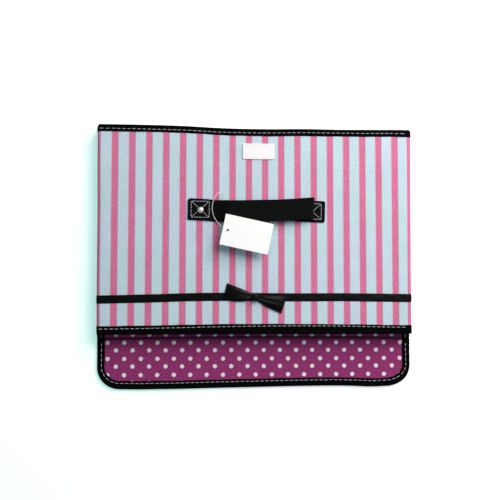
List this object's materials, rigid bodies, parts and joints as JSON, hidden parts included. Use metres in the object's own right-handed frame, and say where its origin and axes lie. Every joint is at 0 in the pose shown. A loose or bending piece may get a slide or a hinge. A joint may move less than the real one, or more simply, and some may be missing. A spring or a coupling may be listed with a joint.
{
  "type": "collapsible fabric storage box",
  "caption": "Fabric-covered board storage box with gusseted folding sides and a hinged lid with a front lip, folded flat on its back, with a strap handle and a ribbon bow.",
  "frame": {"origin": "middle of the footprint, on the surface that the folded lid lies on", "axes": "+X is the box's width, +Y points to the rim of the walls, +Z points from the lid up to the front wall, which is the way the box opens"},
  "size_m": [0.384, 0.3242, 0.0361],
  "materials": {
    "stripe_cloth": "dimpled non-woven, blue with pink stripes",
    "dot_cloth": "dimpled non-woven, plum with white dots",
    "lining_cloth": "plain dimpled non-woven",
    "grey_board": "raw grey board",
    "black_tape": "folded binding tape, topstitched",
    "black_webbing": "flat woven webbing",
    "black_satin": "satin ribbon",
    "white_hook": "hook and loop tape",
    "rivet_metal": "bright domed head",
    "tag_paper": "blank card",
    "clear_filament": "clear nylon"
  },
  "bodies": {
    "back_wall": {"back_fabric": "stripe_cloth", "back_board": "grey_board", "back_lining": "lining_cloth", "back_top_binding": "black_tape", "back_bottom_binding": "black_tape", "back_ribbon": "black_satin", "lid_hinge_cloth": "black_tape"},
    "side_rear_left": {"side_rear_left_fabric": "stripe_cloth", "side_rear_left_board": "grey_board", "side_rear_left_lining": "lining_cloth", "side_rear_left_bindings": "black_tape", "side_rear_left_ribbon": "black_satin"},
    "side_front_left": {"side_front_left_fabric": "stripe_cloth", "side_front_left_board": "grey_board", "side_front_left_lining": "lining_cloth", "side_front_left_bindings": "black_tape", "side_front_left_ribbon": "black_satin"},
    "side_rear_right": {"side_rear_right_fabric": "stripe_cloth", "side_rear_right_board": "grey_board", "side_rear_right_lining": "lining_cloth", "side_rear_right_bindings": "black_tape", "side_rear_right_ribbon": "black_satin"},
    "side_front_right": {"side_front_right_fabric": "stripe_cloth", "side_front_right_board": "grey_board", "side_front_right_lining": "lining_cloth", "side_front_right_bindings": "black_tape", "side_front_right_ribbon": "black_satin"},
    "floor_rear": {"floor_rear_lining": "lining_cloth", "floor_rear_board": "grey_board", "floor_rear_cloth": "lining_cloth"},
    "floor_front": {"floor_front_lining": "lining_cloth", "floor_front_board": "grey_board", "floor_front_cloth": "lining_cloth"},
    "front_wall": {"front_fabric": "stripe_cloth", "front_board": "grey_board", "front_lining": "lining_cloth", "front_top_binding": "black_tape", "front_bottom_binding": "black_tape", "front_ribbon": "black_satin", "bow_wings": "black_satin", "bow_knot": "black_satin", "front_hook_patch": "white_hook", "handle_anchors": "black_webbing", "handle_rivets": "rivet_metal"},
    "handle": {"handle_grip": "black_webbing", "handle_left_slope": "black_webbing", "handle_right_fold": "black_webbing", "tag_loop": "clear_filament"},
    "tag": {"tag_card": "tag_paper"},
    "lid": {"lid_fabric": "dot_cloth", "lid_board": "grey_board", "lid_lining": "lining_cloth", "lid_side_bindings": "black_tape", "lip_fold_cloth": "dot_cloth"},
    "lip": {"lip_fabric": "dot_cloth", "lip_board": "grey_board", "lip_lining": "lining_cloth", "lip_binding": "black_tape", "lip_loop_patch": "white_hook"}
  },
  "joints": [
    {"name": "side_fold", "type": "hinge", "parent": "back_wall", "child": "side_rear_left", "pos_m": [-0.1869, 0, 0.0098], "axis": [0, -1, 0], "range_deg": [0, 90]},
    {"name": "left_crease", "type": "hinge", "parent": "side_rear_left", "child": "side_front_left", "pos_m": [-0.0609, 0, 0.01305], "axis": [0, 1, 0], "range_deg": [0, 180]},
    {"name": "front_left_corner", "type": "hinge", "parent": "side_front_left", "child": "front_wall", "pos_m": [-0.1869, 0, 0.0163], "axis": [0, -1, 0], "range_deg": [0, 90]},
    {"name": "rear_right_corner", "type": "hinge", "parent": "back_wall", "child": "side_rear_right", "pos_m": [0.1869, 0, 0.0098], "axis": [0, 1, 0], "range_deg": [0, 90]},
    {"name": "front_right_corner", "type": "hinge", "parent": "front_wall", "child": "side_front_right", "pos_m": [0.1869, 0, 0.0163], "axis": [0, -1, 0], "range_deg": [0, 90]},
    {"name": "floor_rear_fold", "type": "hinge", "parent": "back_wall", "child": "floor_rear", "pos_m": [0, -0.093, 0.0074], "axis": [1, 0, 0], "range_deg": [0, 90], "deforming": ["floor_rear_cloth"]},
    {"name": "floor_front_fold", "type": "hinge", "parent": "front_wall", "child": "floor_front", "pos_m": [0, -0.093, 0.0187], "axis": [-1, 0, 0], "range_deg": [0, 90], "deforming": ["floor_front_cloth"]},
    {"name": "lid_hinge", "type": "hinge", "parent": "back_wall", "child": "lid", "pos_m": [0, 0.16215, 0.00385], "axis": [1, 0, 0], "range_deg": [0, 270], "deforming": ["lid_hinge_cloth"]},
    {"name": "lip_fold", "type": "hinge", "parent": "lid", "child": "lip", "pos_m": [0, -0.10415, 0.00185], "axis": [1, 0, 0], "range_deg": [0, 90], "deforming": ["lip_fold_cloth"]},
    {"name": "handle_lift", "type": "slide", "parent": "front_wall", "child": "handle", "axis": [0, 0, 1], "range_m": [0, 0.022], "deforming": ["handle_left_slope", "handle_right_fold"]},
    {"name": "tag_swivel", "type": "hinge", "parent": "handle", "child": "tag", "pos_m": [-0.035, 0.0292, 0.0335], "axis": [0, 0, 1], "range_deg": [-40, 40]}
  ],
  "couplings": [
    {"joint": "left_crease", "follows": "side_fold", "ratio": 2},
    {"joint": "front_left_corner", "follows": "side_fold", "ratio": 1},
    {"joint": "rear_right_corner", "follows": "side_fold", "ratio": 1},
    {"joint": "front_right_corner", "follows": "side_fold", "ratio": 1},
    {"joint": "floor_rear_fold", "follows": "side_fold", "ratio": 1},
    {"joint": "floor_front_fold", "follows": "side_fold", "ratio": 1}
  ]
}
